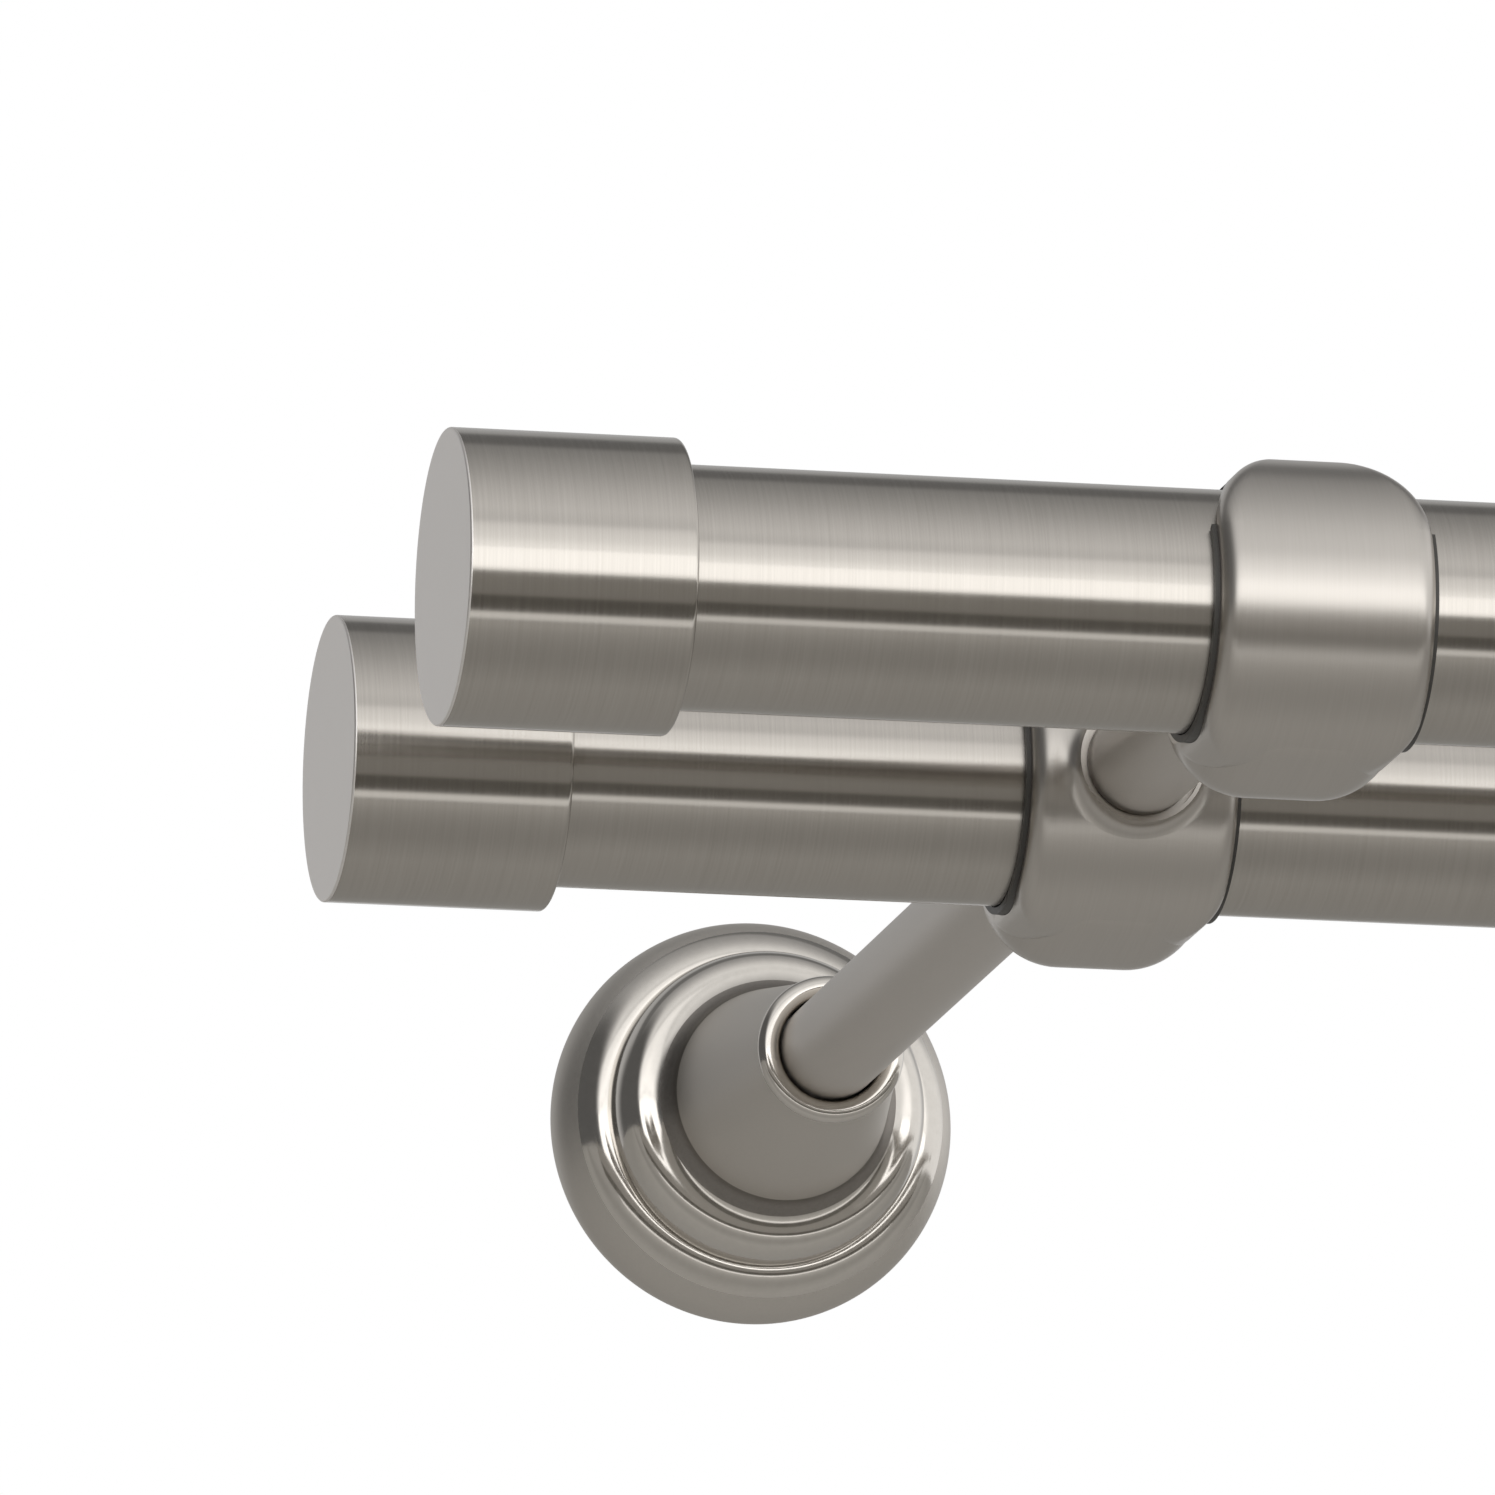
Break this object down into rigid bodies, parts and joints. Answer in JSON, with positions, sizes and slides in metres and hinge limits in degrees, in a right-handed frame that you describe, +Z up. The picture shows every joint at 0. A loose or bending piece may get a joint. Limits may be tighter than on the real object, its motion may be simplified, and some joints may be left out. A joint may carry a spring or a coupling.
{
  "type": "double curtain pole",
  "caption": "Two parallel metal curtain poles with plain cylinder end caps, held one before the other by wall brackets with round rosettes.",
  "frame": {"origin": "on the wall, midway between the two brackets, at the height of their arms", "axes": "+X along the poles, +Y into the wall, +Z up; the room and the object's front are at -Y"},
  "size_m": [1.1768, 0.2918, 0.0464],
  "materials": {
    "pole_nickel": "satin nickel, brushed round the pole",
    "cap_nickel": "satin nickel, turned",
    "arm_nickel": "fine satin nickel",
    "holder_nickel": "satin nickel with smoother shoulders",
    "polished_nickel": "polished nickel with a satin rim",
    "liner_grey": "dark matte plastic",
    "zinc_plate": "bright zinc plate"
  },
  "bodies": {
    "root": {"front_left_arm": "arm_nickel", "front_left_cap": "cap_nickel", "front_left_holder": "holder_nickel", "front_left_liner": "liner_grey", "front_left_pole_screw": "zinc_plate", "front_left_stud": "zinc_plate", "front_pole": "pole_nickel", "front_right_arm": "arm_nickel", "front_right_cap": "cap_nickel", "front_right_holder": "holder_nickel", "front_right_liner": "liner_grey", "front_right_pole_screw": "zinc_plate", "front_right_stud": "zinc_plate", "left_arm_screw": "zinc_plate", "left_rosette": "polished_nickel", "left_wall_plate": "zinc_plate", "middle_left_stud": "zinc_plate", "middle_right_stud": "zinc_plate", "rear_left_arm": "arm_nickel", "rear_left_cap": "cap_nickel", "rear_left_holder": "holder_nickel", "rear_left_liner": "liner_grey", "rear_left_pole_screw": "zinc_plate", "rear_left_stud": "zinc_plate", "rear_pole": "pole_nickel", "rear_right_arm": "arm_nickel", "rear_right_cap": "cap_nickel", "rear_right_holder": "holder_nickel", "rear_right_liner": "liner_grey", "rear_right_pole_screw": "zinc_plate", "rear_right_stud": "zinc_plate", "right_arm_screw": "zinc_plate", "right_rosette": "polished_nickel", "right_wall_plate": "zinc_plate"}
  },
  "joints": []
}
